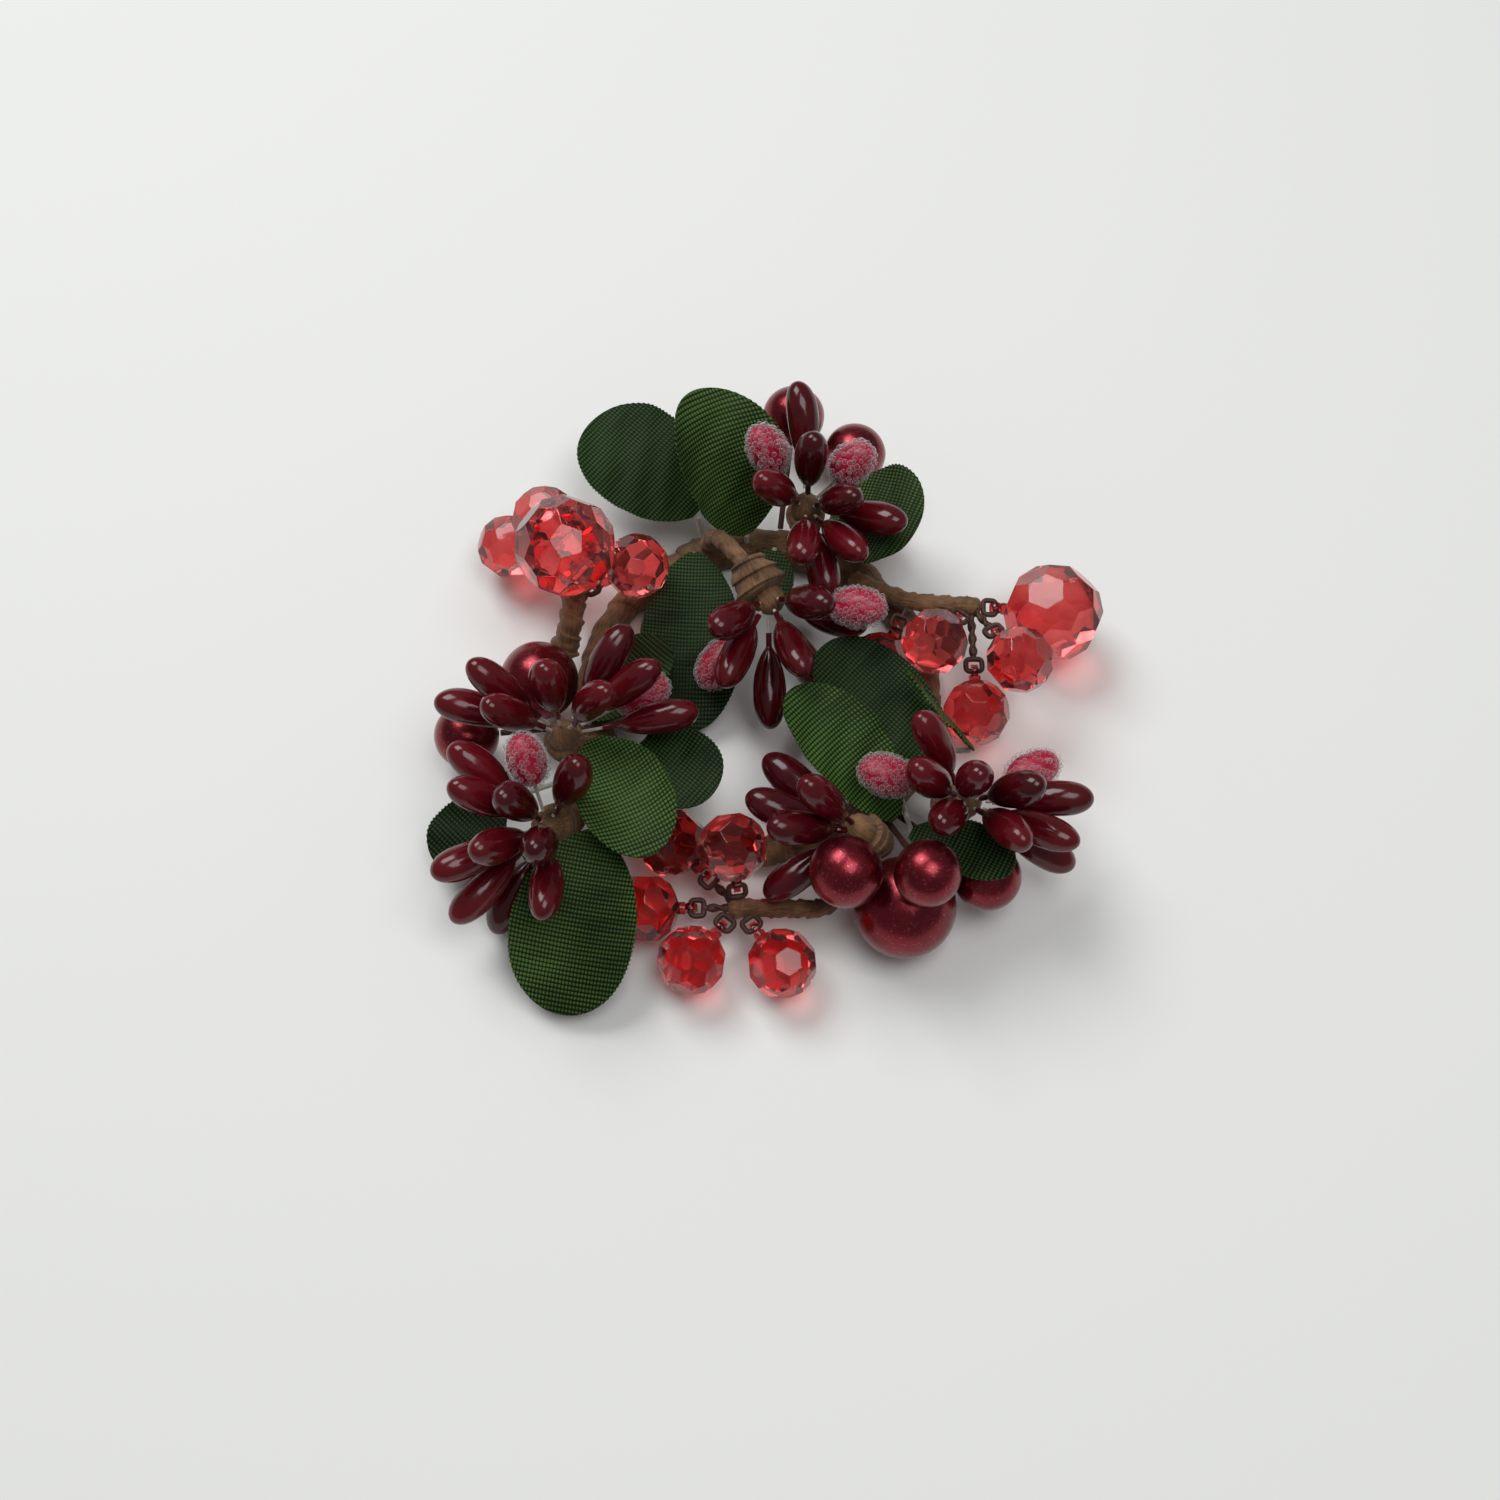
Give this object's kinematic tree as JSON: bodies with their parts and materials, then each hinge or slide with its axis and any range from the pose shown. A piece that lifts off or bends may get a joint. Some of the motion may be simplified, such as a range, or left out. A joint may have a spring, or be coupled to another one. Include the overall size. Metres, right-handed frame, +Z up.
{
  "type": "candle ring",
  "caption": "Decorative candle ring: a taped wire hoop dressed with berry sprays, cloth leaves and sprigs of faceted beads, lying flat round the foot of a slim candle.",
  "frame": {"origin": "middle of the candle opening, on the table that the hoop stands on", "axes": "+Z up, out of the candle opening; +X to the right and +Y to the back in the picture"},
  "size_m": [0.1002, 0.1015, 0.0333],
  "materials": {
    "steel_wire": "plain drawn wire",
    "crepe_tape": "brown crepe-paper tape",
    "pip_lacquer": "burgundy lacquer",
    "stamen_thread": "stiffened white thread",
    "sugared": "pink core under clear glass micro-beads",
    "metallic_berry": "pearl burgundy lacquer",
    "leaf_cloth": "woven green polyester",
    "brown_wire": "dark brown coated wire",
    "white_wire": "white plastic-covered wire",
    "red_acrylic": "clear red faceted acrylic"
  },
  "bodies": {
    "ring": {"berry_wires": "brown_wire", "centre_pips": "pip_lacquer", "centre_spray_tape": "crepe_tape", "group_bindings": "crepe_tape", "hoop_wire": "steel_wire", "hoop_wrap": "crepe_tape", "leaf_wires": "white_wire", "left_leaf_back": "leaf_cloth", "left_leaf_front": "leaf_cloth", "left_leaf_inner": "leaf_cloth", "left_leaf_outer": "leaf_cloth", "left_leaf_upper": "leaf_cloth", "left_lower_pips": "pip_lacquer", "left_lower_spray_tape": "crepe_tape", "left_metallic_berries": "metallic_berry", "left_upper_pips": "pip_lacquer", "left_upper_spray_tape": "crepe_tape", "right_inner_pips": "pip_lacquer", "right_inner_spray_tape": "crepe_tape", "right_leaf_edge": "leaf_cloth", "right_leaf_light": "leaf_cloth", "right_leaf_long": "leaf_cloth", "right_leaf_low": "leaf_cloth", "right_metallic_berries": "metallic_berry", "right_outer_pips": "pip_lacquer", "right_outer_spray_tape": "crepe_tape", "spray_stem_wires": "steel_wire", "stamen_threads": "stamen_thread", "sugared_berries": "sugared", "top_leaf_back": "leaf_cloth", "top_leaf_inner": "leaf_cloth", "top_leaf_outer_left": "leaf_cloth", "top_leaf_right": "leaf_cloth", "top_leaf_small": "leaf_cloth", "top_metallic_berries": "metallic_berry", "top_pips": "pip_lacquer", "top_spray_tape": "crepe_tape"},
    "left_sprig": {"left_sprig_tape": "crepe_tape", "left_sprig_wires": "brown_wire"},
    "left_bead_1": {"left_bead_1": "red_acrylic"},
    "left_bead_2": {"left_bead_2": "red_acrylic"},
    "left_bead_3": {"left_bead_3": "red_acrylic"},
    "left_bead_4": {"left_bead_4": "red_acrylic"},
    "right_sprig": {"right_sprig_tape": "crepe_tape", "right_sprig_wires": "brown_wire"},
    "right_bead_1": {"right_bead_1": "red_acrylic"},
    "right_bead_2": {"right_bead_2": "red_acrylic"},
    "right_bead_3": {"right_bead_3": "red_acrylic"},
    "right_bead_4": {"right_bead_4": "red_acrylic"},
    "right_bead_5": {"right_bead_5": "red_acrylic"},
    "front_sprig": {"front_sprig_tape": "crepe_tape", "front_sprig_wires": "brown_wire"},
    "front_bead_1": {"front_bead_1": "red_acrylic"},
    "front_bead_2": {"front_bead_2": "red_acrylic"},
    "front_bead_3": {"front_bead_3": "red_acrylic"},
    "front_bead_4": {"front_bead_4": "red_acrylic"},
    "front_bead_5": {"front_bead_5": "red_acrylic"}
  },
  "joints": [
    {"name": "left_sprig_swing", "type": "hinge", "parent": "ring", "child": "left_sprig", "pos_m": [-0.02929, 0.00623, 0.00583], "axis": [0, 0, 1], "range_deg": [0, 10]},
    {"name": "left_bead_1_tilt", "type": "hinge", "parent": "left_sprig", "child": "left_bead_1", "pos_m": [-0.02782, 0.01258, 0.01478], "axis": [0.9511, 0.309, 0], "range_deg": [0, 12]},
    {"name": "left_bead_2_tilt", "type": "hinge", "parent": "left_sprig", "child": "left_bead_2", "pos_m": [-0.03416, 0.01866, 0.00838], "axis": [0.7071, 0.7071, 0], "range_deg": [-10, 0]},
    {"name": "left_bead_3_tilt", "type": "hinge", "parent": "left_sprig", "child": "left_bead_3", "pos_m": [-0.02992, 0.01742, 0.01295], "axis": [0.9205, 0.3907, 0], "range_deg": [0, 5]},
    {"name": "left_bead_4_tilt", "type": "hinge", "parent": "left_sprig", "child": "left_bead_4", "pos_m": [-0.02425, 0.01359, 0.01179], "axis": [0.3746, -0.9272, 0], "range_deg": [0, 12]},
    {"name": "right_sprig_lift", "type": "hinge", "parent": "ring", "child": "right_sprig", "pos_m": [0.01548, 0.0166, 0.00659], "axis": [-0.331, -0.9436, 0], "range_deg": [0, 10]},
    {"name": "right_bead_1_tilt", "type": "hinge", "parent": "right_sprig", "child": "right_bead_1", "pos_m": [0.03579, 0.0106, 0.00973], "axis": [-0.0523, -0.9986, 0], "range_deg": [-6, 12]},
    {"name": "right_bead_2_tilt", "type": "hinge", "parent": "right_sprig", "child": "right_bead_2", "pos_m": [0.03529, 0.00462, 0.01269], "axis": [-0.8829, -0.4695, 0], "range_deg": [0, 12]},
    {"name": "right_bead_3_tilt", "type": "hinge", "parent": "right_sprig", "child": "right_bead_3", "pos_m": [0.03218, 0.00048, 0.00873], "axis": [-0.9998, -0.0175, 0], "range_deg": [-10, 0]},
    {"name": "right_bead_4_tilt", "type": "hinge", "parent": "right_sprig", "child": "right_bead_4", "pos_m": [0.02963, 0.00776, 0.0114], "axis": [-0.788, 0.6157, 0], "range_deg": [0, 12]},
    {"name": "right_bead_5_tilt", "type": "hinge", "parent": "right_sprig", "child": "right_bead_5", "pos_m": [0.02088, 0.00828, 0.00788], "axis": [-0.9063, 0.4226, 0], "range_deg": [-8, 0]},
    {"name": "front_sprig_swing", "type": "hinge", "parent": "ring", "child": "front_sprig", "pos_m": [0.01233, -0.02768, 0.00434], "axis": [0, 0, 1], "range_deg": [0, 8]},
    {"name": "front_bead_1_tilt", "type": "hinge", "parent": "front_sprig", "child": "front_bead_1", "pos_m": [-0.00322, -0.03343, 0.00866], "axis": [0.9903, 0.1392, 0], "range_deg": [0, 12]},
    {"name": "front_bead_2_tilt", "type": "hinge", "parent": "front_sprig", "child": "front_bead_2", "pos_m": [-0.00979, -0.03582, 0.00574], "axis": [-0.0175, 0.9998, 0], "range_deg": [-6, 0]},
    {"name": "front_bead_3_tilt", "type": "hinge", "parent": "front_sprig", "child": "front_bead_3", "pos_m": [-0.00547, -0.03876, 0.00571], "axis": [-0.766, 0.6428, 0], "range_deg": [-6, 12]},
    {"name": "front_bead_4_tilt", "type": "hinge", "parent": "front_sprig", "child": "front_bead_4", "pos_m": [-0.00055, -0.03893, 0.00571], "axis": [-0.809, -0.5878, 0], "range_deg": [-6, 12]},
    {"name": "front_bead_5_tilt", "type": "hinge", "parent": "front_sprig", "child": "front_bead_5", "pos_m": [-0.00785, -0.03124, 0.00729], "axis": [0.6691, 0.7431, 0], "range_deg": [0, 3]}
  ]
}
